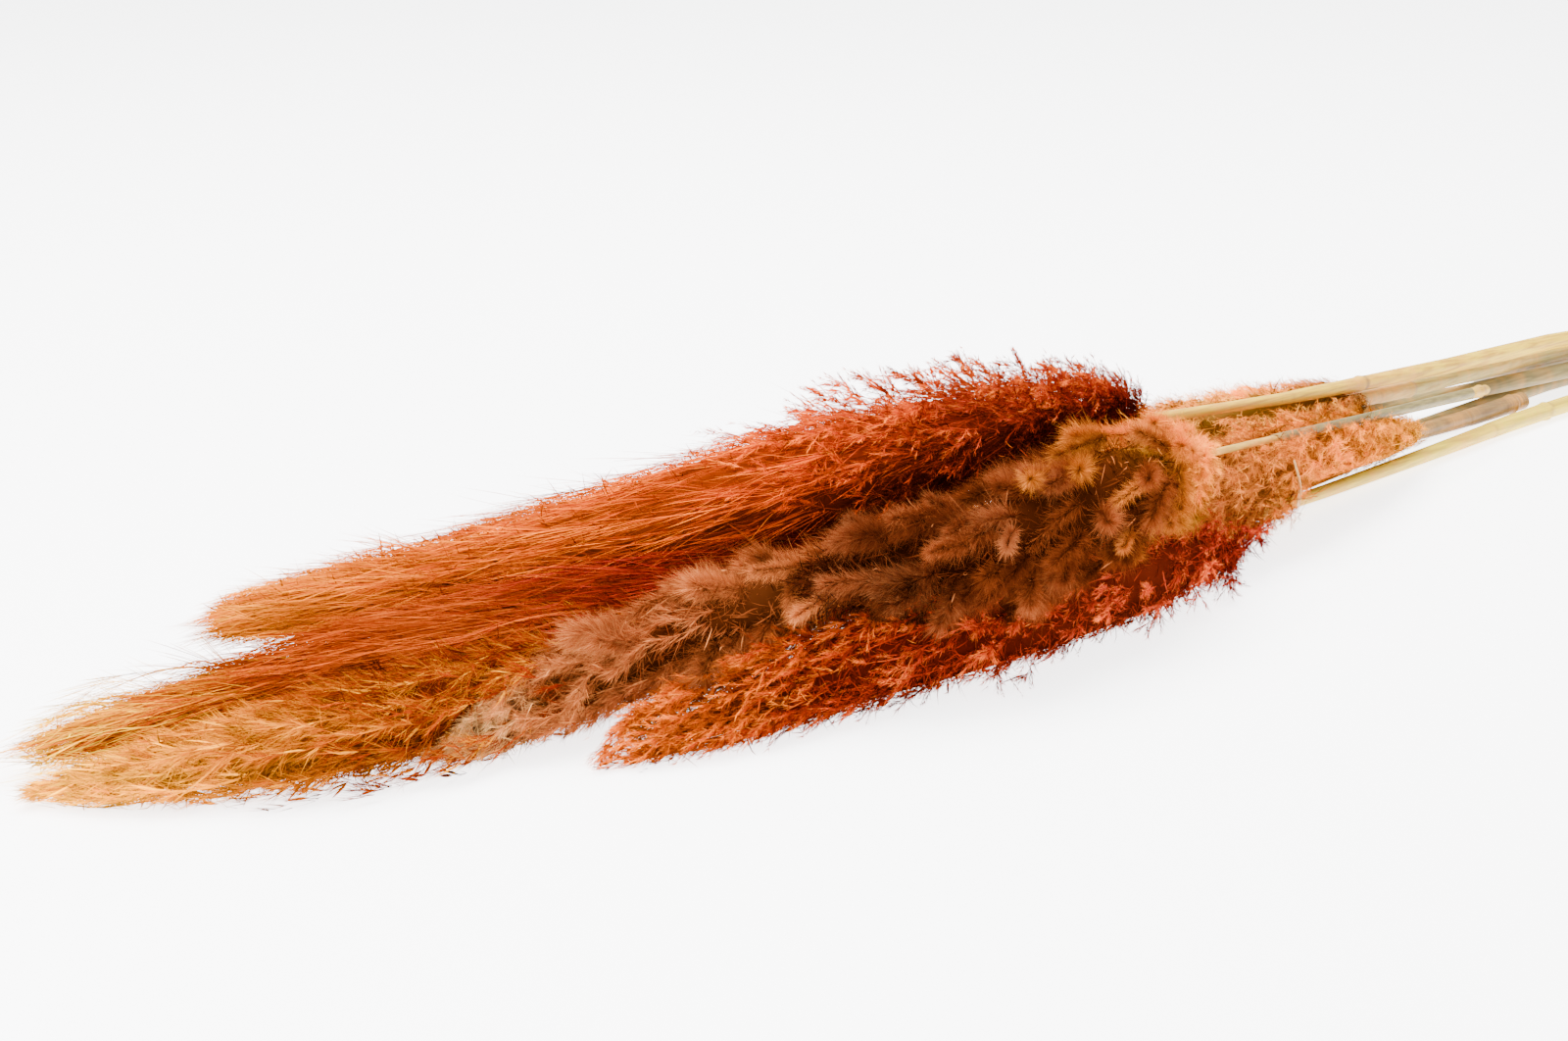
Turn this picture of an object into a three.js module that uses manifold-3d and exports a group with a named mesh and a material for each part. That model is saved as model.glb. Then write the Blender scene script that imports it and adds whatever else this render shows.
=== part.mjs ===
// Bundle of pampas grass: eight dyed, dried stalks lying together on a flat surface.
// Millimetres. +X runs along the bundle towards the cut ends, +Y away from the low side, +Z is up.
import * as THREE from "three";
import Module from "manifold-3d";

const wasm = await Module();
wasm.setup();

// Sizes shared by all the stalks.
const GAP = 0.3; // air left between pieces that lie against each other
const PLUME_SIDES = 16; // sides of a plume's rings
const PLUME_RINGS = 15; // rings between a plume's neck and its tip
const PLUME_RIBS = 4; // soft ribs round a plume
const RIB_DEPTH = 0.06; // height of a rib, as a share of the radius
const RIB_TWIST = 2.2; // turn of the ribs from neck to tip, in radians
const STEM_SIDES = 10; // sides of a stem
const STEM_RINGS = 9; // rings along a stem, besides those at its nodes
const STEM_TOP_RADIUS = 3.3; // radius of a stem under its plume
const STEM_CUT_RADIUS = 4.1; // radius of a stem at its cut end
const NODE_SWELLING = 0.45; // extra radius at a node
const NODE_HALF_LENGTH = 3; // half the length of a node's swelling
const CUT_SLANT = 0.25; // slope of a cut end

// The golden stalk's thin flower stalk, and the leaf sheath that it comes out of.
const FINE_STEM_RADIUS = 1.4;
const SHEATH_RADIUS = 2.5;
const SHEATH_WALL = 0.7;
const SHEATH_START = -16; // X of the sheath's mouth
const SHEATH_END = 152; // X of the node that the sheath grows from
const FINE_STUB_RADIUS = 2.3; // radius of the stub below that node
const SHEATH_COLOUR = 0xa8a676;

// Each stalk: its plume's colour and its straw's, the points of its stem from plume to cut end,
// the X of its nodes, and its plume's stations from neck to tip as [x, y, z, half width, half height].
const STALKS = [
  {
    name: "red_front",
    colour: 0x9c2c14,
    straw: 0xd8cf86,
    stem: [[-14, -8, 8], [45, 0, 5], [119, 7, 4.2], [232, 15, 4.4], [495, 20, 4.6]],
    nodes: [212, 400],
    plume: [
      [-12, -6, 8, 4, 4], [-32, -15, 10, 10, 9], [-68, -29, 12, 14, 13], [-112, -39, 14, 16, 16],
      [-162, -43, 14.5, 17, 17], [-212, -43, 14.5, 17, 17], [-260, -40, 12.5, 15, 15],
      [-302, -36, 9, 11, 10], [-328, -31, 6, 6, 6], [-338, -29, 5, 1.5, 1.5],
    ],
  },
  {
    name: "golden",
    colour: 0x9a6224,
    fine: true,
    straw: 0xd8bc62,
    stem: [[-76, -27, 47], [-22, -19, 42], [64, -2, 32], [167, 15, 22]],
    nodes: [160],
    plume: [
      [-67, -26, 46, 3, 3], [-90, -32, 50, 14, 12], [-130, -43, 53, 20, 17],
      [-172, -50, 53, 22, 19], [-212, -48, 52, 22, 18], [-246, -39, 49, 17, 15],
      [-270, -31, 46, 2, 2],
    ],
  },
  {
    name: "rust_long",
    colour: 0xc4511c,
    straw: 0xdcc68c,
    stem: [[-54, 20, 47], [31, 21, 40], [91, 24.5, 36], [177, 31, 30], [260, 36, 26], [505, 26, 11.8]],
    nodes: [90, 290, 440],
    plume: [
      [-42, 19, 46, 4, 4], [-72, 22, 50, 15, 14], [-120, 26, 52, 25, 20], [-180, 31, 50, 30, 22],
      [-240, 42, 43, 31, 22], [-300, 58, 34, 29, 20], [-350, 80, 25, 22, 16],
      [-386, 98, 16, 12, 11], [-404, 108, 13, 1.5, 1.5],
    ],
  },
  {
    name: "peach_front",
    colour: 0xd78a50,
    straw: 0xbf9a62,
    stem: [[104, 12, 13.5], [121, 14, 12], [162, 18, 10], [209, 24, 8]],
    nodes: [197],
    plume: [
      [118, 13.5, 12, 4, 4], [95, 8, 15, 10, 9], [60, 0, 20, 15, 14], [20, -8, 24, 19, 17],
      [-25, -16, 27, 20, 18], [-65, -20, 27, 18, 15], [-98, -22, 26, 10, 9],
      [-115, -22, 25, 2, 2],
    ],
  },
  {
    name: "peach_back",
    colour: 0xb87a52,
    straw: 0xd9cd9a,
    stem: [[84, 25, 29], [136, 32, 24.5], [200, 38, 21], [271, 43, 17.5], [488, 37, 12]],
    nodes: [133, 330],
    plume: [
      [97, 25, 28, 4, 4], [75, 28, 29, 9, 8], [40, 31, 30, 15, 12], [0, 33, 31, 18, 13],
      [-40, 35, 31, 16, 12], [-75, 38, 31, 8, 7], [-90, 38, 31, 2, 2],
    ],
  },
  {
    name: "tan_foxtail",
    colour: 0xa87444,
    straw: 0xbcbc98,
    stem: [
      [-200, -35, 34], [-160, -32, 26], [-120, -25, 17], [-60, -11, 8], [0, 5, 5], [60, 19, 4.6],
      [120, 30, 4.4], [230, 41.5, 4.4], [502, 42.5, 4.6],
    ],
    nodes: [60, 350],
    plume: [
      [-190, -36, 34, 4, 4], [-212, -32, 36, 13, 12], [-250, -24, 37, 16, 14],
      [-285, -18, 33, 16, 14], [-318, -9, 23, 15, 14], [-346, -1, 14, 14, 13],
      [-366, 1, 9, 9, 8], [-378, 2, 6, 1.5, 1.5],
    ],
  },
  {
    name: "orange_feather",
    colour: 0xd9822a,
    straw: 0xb4b08c,
    stem: [
      [-262, 3, 21], [-190, -3, 16], [-120, -3, 11], [-60, 5, 10], [0, 17, 10], [60, 32, 11.5],
      [119, 45, 13], [180, 40, 12.4], [260, 33, 12], [498, 31, 4.6],
    ],
    nodes: [120, 300],
    plume: [
      [-252, 2, 22, 4, 4], [-285, 8, 19, 14, 14], [-330, 14, 15, 18, 17],
      [-375, 17, 13.5, 20, 16], [-415, 24, 11, 18, 13], [-448, 36, 8, 13, 9],
      [-470, 48, 6, 6, 5], [-480, 54, 5, 1.5, 1.5],
    ],
  },
  {
    name: "amber_long",
    colour: 0xc25a1e,
    straw: 0xbcc4a0,
    stem: [
      [-95, 13, 19], [-60, 18, 17], [0, 31, 14], [50, 41, 17], [105, 42, 25], [150, 50, 20],
      [220, 53, 13], [510, 53, 4.6],
    ],
    nodes: [128, 260],
    plume: [
      [-85, 14, 18, 4, 4], [-140, 13, 20, 18, 16], [-215, 13, 22, 25, 21], [-300, 22, 21, 26, 22],
      [-372, 46, 18, 23, 18], [-425, 61, 13, 15, 12], [-464, 73, 8, 8, 6], [-484, 80, 6, 1.5, 1.5],
    ],
  },
];

// A narrow strip of dried leaf that hangs over the front peach plume.
const STRIP_PATH = [[-24, -34, 38], [-21, -35, 29], [-12, -28, 18], [-2, -19, 11]];
const STRIP_WIDTH = 1.4;
const STRIP_THICKNESS = 0.7;
const STRIP_COLOUR = 0xd0a060;

const vector = ([x, y, z]) => new THREE.Vector3(x, y, z);
const curve = (points) => new THREE.CatmullRomCurve3(points.map(vector), false, "catmullrom");

// A closed solid from rings of points, with a fan over each end.
function loft(rings) {
  const sides = rings[0].length;
  const points = rings.flat();
  const faces = [];
  for (let r = 0; r + 1 < rings.length; r++) {
    for (let s = 0; s < sides; s++) {
      const a = r * sides + s;
      const b = r * sides + ((s + 1) % sides);
      faces.push(a, b, a + sides, b, b + sides, a + sides);
    }
  }
  for (const end of [0, rings.length - 1]) {
    const middle = new THREE.Vector3();
    rings[end].forEach((p) => middle.add(p));
    points.push(middle.divideScalar(sides));
    for (let s = 0; s < sides; s++) {
      const a = end * sides + s;
      const b = end * sides + ((s + 1) % sides);
      faces.push(points.length - 1, ...(end ? [a, b] : [b, a]));
    }
  }
  return new wasm.Manifold(
    new wasm.Mesh({
      numProp: 3,
      vertProperties: new Float32Array(points.flatMap((p) => [p.x, p.y, p.z])),
      triVerts: new Uint32Array(faces),
    }),
  );
}

// The two directions across a curve at one of its points: level, and up.
function across(path, t) {
  const along = path.getTangent(t);
  const level = new THREE.Vector3(0, 0, 1).cross(along).normalize();
  const up = along.clone().cross(level);
  return { along, level, up };
}

// A plume: soft ribbed rings along its spine, flat where it lies on the ground.
function plumeSolid(stations, extra) {
  const spine = curve(stations);
  const sizes = curve(stations.map(([, , , width, height]) => [width, height, 0]));
  const rings = [];
  for (let i = 0; i <= PLUME_RINGS; i++) {
    const t = i / PLUME_RINGS;
    const centre = spine.getPoint(t);
    const size = sizes.getPoint(t);
    const { level, up } = across(spine, t);
    const ring = [];
    for (let s = 0; s < PLUME_SIDES; s++) {
      const angle = (2 * Math.PI * s) / PLUME_SIDES;
      const rib = 1 + RIB_DEPTH * Math.cos(PLUME_RIBS * angle + RIB_TWIST * t);
      const p = centre.clone();
      p.addScaledVector(level, Math.cos(angle) * (size.x * rib + extra));
      p.addScaledVector(up, Math.sin(angle) * (size.y * rib + extra));
      p.z = Math.max(p.z, -extra);
      ring.push(p);
    }
    rings.push(ring);
  }
  return loft(rings);
}

// Where along a stem's curve a given X lies.
function placeOf(path, x) {
  let low = 0;
  let high = 1;
  for (let i = 0; i < 30; i++) {
    const middle = (low + high) / 2;
    if (path.getPoint(middle).x < x) low = middle;
    else high = middle;
  }
  return low;
}

// The radius of a stem at a place along it, without its nodes.
function stemRadius(stalk, path, t) {
  if (stalk.fine) {
    return path.getPoint(t).x > SHEATH_END ? FINE_STUB_RADIUS : FINE_STEM_RADIUS;
  }
  return THREE.MathUtils.lerp(STEM_TOP_RADIUS, STEM_CUT_RADIUS, t);
}

// A stem: a tapering rod with swollen nodes and a slanted cut at its foot.
function stemSolid(stalk, extra) {
  const path = curve(stalk.stem);
  const places = [];
  for (let i = 0; i <= STEM_RINGS; i++) {
    places.push({ t: i / STEM_RINGS, swelling: 0 });
  }
  for (const x of stalk.nodes) {
    places.push({ t: placeOf(path, x - NODE_HALF_LENGTH), swelling: 0 });
    places.push({ t: placeOf(path, x), swelling: NODE_SWELLING });
    places.push({ t: placeOf(path, x + NODE_HALF_LENGTH), swelling: 0 });
  }
  if (stalk.fine) {
    places.push({ t: placeOf(path, SHEATH_END), swelling: 0 });
    places.push({ t: placeOf(path, SHEATH_END + 1), swelling: 0 });
  }
  places.sort((a, b) => a.t - b.t);
  const rings = places.map(({ t, swelling }, i) => {
    const centre = path.getPoint(t);
    const { along, level, up } = across(path, t);
    const radius = stemRadius(stalk, path, t) + swelling + extra;
    const slant = i === places.length - 1 ? CUT_SLANT : 0;
    const ring = [];
    for (let s = 0; s < STEM_SIDES; s++) {
      const angle = (2 * Math.PI * s) / STEM_SIDES;
      const p = centre.clone();
      p.addScaledVector(level, Math.cos(angle) * radius);
      p.addScaledVector(up, Math.sin(angle) * radius);
      p.addScaledVector(along, Math.sin(angle) * radius * slant);
      ring.push(p);
    }
    return ring;
  });
  return loft(rings);
}

// The leaf sheath: a thin tube round the fine stem.
function sheathSolid(stalk, extra) {
  const path = curve(stalk.stem);
  const first = placeOf(path, SHEATH_START);
  const last = placeOf(path, SHEATH_END);
  const tube = (radius, reach) => {
    const rings = [];
    for (let i = 0; i <= STEM_RINGS; i++) {
      const t = THREE.MathUtils.lerp(first - reach, last + reach, i / STEM_RINGS);
      const centre = path.getPoint(t);
      const { level, up } = across(path, t);
      const ring = [];
      for (let s = 0; s < STEM_SIDES; s++) {
        const angle = (2 * Math.PI * s) / STEM_SIDES;
        const p = centre.clone();
        p.addScaledVector(level, Math.cos(angle) * radius);
        p.addScaledVector(up, Math.sin(angle) * radius);
        ring.push(p);
      }
      rings.push(ring);
    }
    return loft(rings);
  };
  const outer = tube(SHEATH_RADIUS + extra, 0);
  return extra ? outer : outer.subtract(tube(SHEATH_RADIUS - SHEATH_WALL, 0.01));
}

// The loose strip of leaf.
function stripSolid(extra) {
  const path = curve(STRIP_PATH);
  const rings = [];
  for (let i = 0; i <= 6; i++) {
    const centre = path.getPoint(i / 6);
    const { level, up } = across(path, i / 6);
    const ring = [[1, 1], [-1, 1], [-1, -1], [1, -1]].map(([a, b]) => {
      const p = centre.clone();
      p.addScaledVector(level, a * (STRIP_WIDTH / 2 + extra));
      p.addScaledVector(up, b * (STRIP_THICKNESS / 2 + extra));
      return p;
    });
    rings.push(ring);
  }
  return loft(rings);
}

// The largest body of a solid: what cutting leaves as crumbs is dropped.
function mainBody(solid) {
  const bodies = solid.decompose();
  return bodies.reduce((a, b) => (a.volume() > b.volume() ? a : b));
}

const strawMaterial = (color) => {
  return new THREE.MeshStandardMaterial({ color, roughness: 0.55, metalness: 0 });
};
const plumeMaterial = (color) => {
  return new THREE.MeshStandardMaterial({ color, roughness: 0.95, metalness: 0 });
};

// A named mesh from a solid.
function meshOf(name, solid, material) {
  const { vertProperties, triVerts } = solid.getMesh();
  const geometry = new THREE.BufferGeometry();
  geometry.setAttribute("position", new THREE.BufferAttribute(new Float32Array(vertProperties), 3));
  geometry.setIndex(new THREE.BufferAttribute(new Uint32Array(triVerts), 1));
  geometry.computeVertexNormals();
  const mesh = new THREE.Mesh(geometry, material);
  mesh.name = name;
  return mesh;
}

const hard = [];
const cutters = [];
for (const stalk of STALKS) {
  hard.push([stalk.name + "_stem", stemSolid(stalk, 0), stalk.straw]);
  cutters.push(stemSolid(stalk, GAP));
  if (stalk.fine) {
    hard.push([stalk.name + "_sheath", sheathSolid(stalk, 0), SHEATH_COLOUR]);
    cutters.push(sheathSolid(stalk, GAP));
  }
}
hard.push(["loose_leaf_strip", stripSolid(0), STRIP_COLOUR]);
cutters.push(stripSolid(GAP));

const group = new THREE.Group();
group.name = "pampas_grass_bundle";
for (const [name, solid, colour] of hard) {
  group.add(meshOf(name, solid, strawMaterial(colour)));
}
for (const stalk of STALKS) {
  let plume = plumeSolid(stalk.plume, 0);
  for (const cutter of cutters) {
    plume = plume.subtract(cutter);
  }
  plume = mainBody(plume);
  group.add(meshOf(stalk.name + "_plume", plume, plumeMaterial(stalk.colour)));
  cutters.push(plumeSolid(stalk.plume, GAP));
}

// The origin is the middle of the box's base.
const box = new THREE.Box3().setFromObject(group);
const middle = box.getCenter(new THREE.Vector3());
group.position.set(-middle.x, -middle.y, -box.min.z);

export default group;
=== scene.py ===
"""Bundle of dyed, dried pampas grass lying on a pale floor: eight stalks with plumes of four kinds."""
import math

import bpy
import numpy as np
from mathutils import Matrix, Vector


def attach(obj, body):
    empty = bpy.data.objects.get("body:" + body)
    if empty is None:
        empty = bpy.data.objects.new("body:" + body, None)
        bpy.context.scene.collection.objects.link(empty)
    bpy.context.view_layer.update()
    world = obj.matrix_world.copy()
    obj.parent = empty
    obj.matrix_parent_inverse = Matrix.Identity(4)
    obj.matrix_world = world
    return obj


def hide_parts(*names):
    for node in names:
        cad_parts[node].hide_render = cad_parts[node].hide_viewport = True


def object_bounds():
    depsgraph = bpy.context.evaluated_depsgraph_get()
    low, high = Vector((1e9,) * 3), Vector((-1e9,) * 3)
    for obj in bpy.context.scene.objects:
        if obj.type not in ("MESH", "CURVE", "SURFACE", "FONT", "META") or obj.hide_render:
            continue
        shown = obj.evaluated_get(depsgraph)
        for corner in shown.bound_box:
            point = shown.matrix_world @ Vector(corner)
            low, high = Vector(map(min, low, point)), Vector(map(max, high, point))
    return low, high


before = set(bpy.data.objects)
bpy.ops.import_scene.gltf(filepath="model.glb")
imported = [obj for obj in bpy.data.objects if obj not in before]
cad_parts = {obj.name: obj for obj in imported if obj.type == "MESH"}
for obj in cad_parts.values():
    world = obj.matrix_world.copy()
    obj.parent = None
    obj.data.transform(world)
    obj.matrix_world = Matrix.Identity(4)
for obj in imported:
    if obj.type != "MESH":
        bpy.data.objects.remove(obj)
cad_bounds = [[float(v) for v in corner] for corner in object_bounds()]

# Lengths are in mm until a mesh is built.
MM = 0.001
SHIFT = np.array([-13.3, -18.2, 0.0])  # from the stalks' own millimetres to the shared frame
FLOOR_GAP = 0.4  # the lowest that a hair lies above the floor
CEILING = cad_bounds[1][2] / MM + 10.5  # the highest that a hair reaches
SIDE = cad_bounds[1][1] / MM + 13.5  # the furthest that a hair reaches to either side
QUICK = 1.0  # share of the hairs that are grown
FULL_TURN = 6.283  # all the way round a plume

# How hairs vary.
LENGTH_SPREAD = 0.25
WIDTH_SPREAD = 0.25
HUE_DRIFT = 0.01
LOBE_HUE_SPREAD = 0.1
SILKY_HAIRS = 28  # on each strand
LOBE_HAIR_SHARES = (0.75, 1.0, 1.3)
STRAW_OUT = (0.9, 1.05)  # how far out stray bits of husk lie
PAST_TIP = 4.0  # how far any hair may reach past its plume's tip
LOW_PLACE = 0.43  # how far the painted shade under a plume's base reaches along the plume
SHADE_HEIGHT = 0.3  # what lies lower than this in a plume is darkened, as painted shade
DARKEST_DROP = 1.1  # the depth at which that darkening stops growing
SHADE_OUT = 0.75  # what ends less far out than this is darkened too, as painted shade

# The matted middle of a plume, painted nearly black as the shade between tufts.
CORE_PLACES = np.linspace(0.03, 0.94, 40)
CORE_SHADE = 0.02
CORE_SIDES = 16

SPINE_POINTS = 400
SEARCH_POINTS = 60  # of the spine's points, those tried for the nearest one

# Plume stations from neck to tip: x, y, z, half width, half height.
STATIONS = {
    "red_front": [
        (-12, -6, 8, 4, 4), (-32, -15, 10, 10, 9), (-68, -29, 12, 14, 13), (-112, -39, 15, 16, 17),
        (-162, -42, 16, 17, 18), (-212, -42, 16, 17, 18), (-260, -40, 13, 15, 15),
        (-302, -36, 9, 11, 10), (-328, -31, 6, 6, 6), (-338, -29, 5, 1.5, 1.5)],
    "golden": [
        (-67, -26, 46, 3, 3), (-90, -32, 49, 14, 13), (-130, -43, 51, 20, 19),
        (-172, -50, 48, 22, 20), (-212, -48, 45, 22, 18), (-246, -39, 43, 17, 15),
        (-270, -31, 42, 2, 2)],
    "rust_long": [
        (-42, 19, 46, 4, 4), (-72, 22, 50, 15, 14), (-120, 26, 52, 25, 20), (-180, 31, 50, 30, 22),
        (-240, 42, 43, 31, 22), (-300, 58, 36, 26, 18), (-350, 80, 30, 15, 11),
        (-386, 101, 24, 8, 6), (-404, 106, 19, 3, 3)],
    "peach_front": [
        (118, 13.5, 12, 4, 4), (95, 8, 15, 10, 9), (60, 0, 20, 15, 14), (20, -8, 24, 19, 17),
        (-25, -16, 27, 20, 18), (-65, -20, 27, 18, 15), (-98, -22, 26, 10, 9),
        (-115, -22, 25, 2, 2)],
    "peach_back": [
        (97, 25, 28, 4, 4), (75, 28, 29, 9, 8), (40, 31, 30, 15, 12), (0, 33, 31, 18, 13),
        (-40, 35, 31, 16, 12), (-75, 38, 31, 8, 7), (-90, 38, 31, 2, 2)],
    "tan_foxtail": [
        (-190, -36, 34, 4, 4), (-212, -32, 36, 13, 12), (-250, -24, 37, 16, 14),
        (-285, -18, 33, 16, 14), (-318, -9, 23, 15, 14), (-346, -1, 14, 14, 13),
        (-366, 1, 9, 9, 8), (-378, 2, 6, 1.5, 1.5)],
    "orange_feather": [
        (-252, 2, 22, 4, 4), (-285, 8, 19, 14, 14), (-330, 14, 15, 18, 17),
        (-375, 17, 13.5, 20, 16), (-415, 24, 11, 18, 13), (-448, 36, 8, 13, 9),
        (-470, 48, 6, 6, 5), (-480, 54, 5, 1.5, 1.5)],
    "amber_long": [
        (-85, 14, 18, 4, 4), (-140, 13, 20, 18, 16), (-215, 13, 22, 25, 21), (-300, 22, 21, 26, 22),
        (-372, 46, 18, 23, 18), (-425, 61, 13, 15, 12), (-464, 73, 8, 8, 6),
        (-484, 80, 6, 1.5, 1.5)],
}


# ---------- curves ----------
def catmull(points, n):
    """n points evenly along a Catmull-Rom curve, and where each lies between 0 and 1."""
    p = np.asarray(points, float)
    p = np.vstack([2 * p[0] - p[1], p, 2 * p[-1] - p[-2]])
    t = np.linspace(0, len(p) - 3 - 1e-9, n)
    i = t.astype(int)
    f = (t - i)[:, None]
    a, b, c, d = p[i], p[i + 1], p[i + 2], p[i + 3]
    return 0.5 * (2 * b + (c - a) * f + (2 * a - 5 * b + 4 * c - d) * f**2 + (3 * b - a - 3 * c + d) * f**3)


def unit(v):
    """Vectors made one long."""
    return v / np.maximum(np.linalg.norm(v, axis=-1, keepdims=True), 1e-9)


class Spine:
    """A plume's middle line with its half width and half height, read by place between 0 and 1."""

    def __init__(self, stations):
        dense = catmull(stations, SPINE_POINTS)
        step = np.linalg.norm(np.diff(dense[:, :3], axis=0), axis=1)
        place = np.concatenate([[0], np.cumsum(step)])
        self.length = place[-1]
        self.at = place / place[-1]
        self.line = dense[:, :3] + SHIFT
        self.size = np.maximum(dense[:, 3:], 1.0)
        self.along = unit(np.gradient(self.line, axis=0))
        self.side = unit(np.cross([0, 0, 1.0], self.along))
        self.up = np.cross(self.along, self.side)

    def read(self, values, s):
        """The spine's values at places s."""
        return np.stack([np.interp(s, self.at, v) for v in values.T], -1)

    def place(self, s, angle, out):
        """The point at place s, angle round the spine and share out of the way to the surface."""
        size = self.read(self.size, s)
        point = self.read(self.line, s)
        point = point + self.read(self.side, s) * (np.cos(angle) * size[..., 0] * out)[..., None]
        return point + self.read(self.up, s) * (np.sin(angle) * size[..., 1] * out)[..., None]

    def locate(self, points):
        """How far past the tip, how far out and how high each point lies (1 is at the surface)."""
        pick = np.linspace(0, len(self.line) - 1, SEARCH_POINTS).astype(int)
        line = self.line[pick]
        size = self.size[pick]
        near = np.empty(len(points), dtype=int)
        block = 20000
        for i in range(0, len(points), block):
            gap = points[i:i + block, None, :] - line[None]
            near[i:i + block] = (gap * gap).sum(-1).argmin(1)
        gap = points - line[near]
        across = (gap * self.side[pick][near]).sum(-1) / (size[near, 0] + 2)
        height = (gap * self.up[pick][near]).sum(-1) / (size[near, 1] + 2)
        past = ((points - self.line[-1]) * self.along[-1]).sum(-1)
        return past, np.hypot(across, height), height


# ---------- growing ----------
class Lines:
    """Many curved lines: points (n, k, 3), and for each its dye place u and its shade v."""

    def __init__(self, points, u, v):
        self.points = points
        self.u = u
        self.v = v


def grow(rng, parent, per, length, angle, steps, first=0.0, last=1.0, spread=0.3, bend=0.0,
         curl=0.3, droop=0.0, taper=0.5, shade=0.1, climb=0.0):
    """New lines on old ones: per lines on each, that leave at an angle and bend back along it."""
    n, k, _ = parent.points.shape
    t = first + (last - first) * rng.random((n, per))
    place = t * (k - 1)
    i = np.minimum(place.astype(int), k - 2)
    f = (place - i)[..., None]
    rows = np.arange(n)[:, None]
    a, b = parent.points[rows, i], parent.points[rows, i + 1]
    start = a + (b - a) * f
    along = unit(b - a)
    other = rng.normal(size=(n, per, 3))
    away = unit(other - along * (other * along).sum(-1, keepdims=True))
    lean = np.clip(angle * (1 + spread * rng.normal(size=(n, per, 1))), 0.02, 2.6)
    out = along * np.cos(lean) + away * np.sin(lean)
    reach = length * (1 - taper * t) * np.exp(LENGTH_SPREAD * rng.normal(size=(n, per)))
    pull = along * bend + rng.normal(size=(n, per, 3)) * curl + np.array([0, 0, -droop])
    x = np.linspace(0, 1, steps + 1)[None, None, :, None]
    points = start[:, :, None] + reach[..., None, None] * (
        out[:, :, None] * x + pull[:, :, None] * x**2 / 2)
    u = parent.u[:, None] + HUE_DRIFT * rng.normal(size=(n, per))
    # Painted shade: climb makes lines that leave near the parent's root darker and those near its tip
    # lighter.
    v = parent.v[:, None] + shade * rng.normal(size=(n, per)) + climb * (t - 0.4)
    return Lines(points.reshape(n * per, steps + 1, 3), u.ravel(), v.ravel())


def branches(rng, spine, count, steps, start, run, out0, out1, turn=0.3, wave=0.0, near=0.0,
             tilt=0.0, shade=0.12, end=1.0, skew=0.0, toward=2.3, sector=(0.0, FULL_TURN)):
    """Branches that leave a plume's middle and follow it.

    Angles go round the plume: 0 is the side that faces the camera, a quarter turn is up.
    """
    s0 = start[0] + (start[1] - start[0]) * rng.random(count) ** start[2]
    ds = (run[0] + (run[1] - run[0]) * rng.random(count)) / spine.length
    ds = np.minimum(ds, end - s0 + 0.02)
    angle = sector[0] + (sector[1] - sector[0]) * rng.random(count)
    x = np.linspace(0, 1, steps + 1)[None, :]
    s = np.clip(s0[:, None] + ds[:, None] * x, 0, 1)
    tip = out1[0] + (out1[1] - out1[0]) * rng.random(count) ** 0.6
    begin = out0[0] + (out0[1] - out0[0]) * rng.random(count)
    tip = tip * (1 + skew * np.clip(np.cos(angle - toward), 0, 1))
    out = begin[:, None] + (tip - begin)[:, None] * np.sin(x * np.pi / 2) ** (1 - near)
    phase = 2 * np.pi * rng.random((count, 1))
    around = angle[:, None] + turn * rng.normal(size=(count, 1)) * x
    around = around + wave * np.sin(phase + 7 * x) * x
    points = spine.place(s, around, out)
    points[..., 2] -= tilt * x**2 * np.abs(rng.normal(size=(count, 1)))
    u = np.clip(s0 + 0.5 * ds, 0, 1)
    v = 0.5 + shade * rng.normal(size=count)
    return Lines(points, u, v)


# ---------- stems' places ----------
def centre_line(node, count):
    """A CAD stem's middle line and radius in mm, from plume to cut end."""
    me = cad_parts[node].data
    v = np.empty(len(me.vertices) * 3)
    me.vertices.foreach_get("co", v)
    v = v.reshape(-1, 3) / MM
    e = np.empty(len(me.edges) * 2, dtype=np.int32)
    me.edges.foreach_get("vertices", e)
    a, b = v[e.reshape(-1, 2)[:, 0]], v[e.reshape(-1, 2)[:, 1]]
    low, high = v[:, 0].min(), v[:, 0].max()
    xs = np.linspace(low + 1.2, high - 1.2, count)
    line, radius = [], []
    for x in xs:
        hit = (a[:, 0] - x) * (b[:, 0] - x) < 0
        f = ((x - a[hit, 0]) / (b[hit, 0] - a[hit, 0]))[:, None]
        yz = a[hit, 1:] + (b[hit, 1:] - a[hit, 1:]) * f
        middle = (yz.min(0) + yz.max(0)) / 2
        line.append((x, *middle))
        radius.append((yz[:, 1].max() - yz[:, 1].min()) / 2)
    line, radius = np.array(line), np.array(radius)
    line[0] += (line[0] - line[1]) * (1.0 / max(np.linalg.norm(line[1] - line[0]), 1e-6))
    return line, radius


class Bare:
    """Keeps hairs off a stem: none in it, and none over it, or none hanging in front of it."""

    def __init__(self, node, over):
        line, radius = centre_line(node, 120)
        self.line = line
        self.radius = radius.max()
        self.over = over

    def covered(self, p):
        """Which of the points p lie in the stem or where they would hide it."""
        x = self.line[:, 0]
        y = np.interp(p[:, 0], x, self.line[:, 1])
        z = np.interp(p[:, 0], x, self.line[:, 2])
        beside = (p[:, 0] > x[0] + 4) & (p[:, 0] < x[-1])
        dy = p[:, 1] - y
        dz = p[:, 2] - z
        inside = np.hypot(dy, dz) < self.radius + 0.7
        if self.over:
            hidden = (np.abs(dy) < self.radius + 0.9) & (dz > 0)
        else:
            hidden = (dy < 3) & (dz < self.radius + 1.5 - 0.5 * dy)
        return beside & (inside | hidden)


OVER = [Bare("golden_stem", True), Bare("golden_sheath", True), Bare("rust_long_stem", True)]
UNDER = [Bare("red_front_stem", False)]


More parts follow.
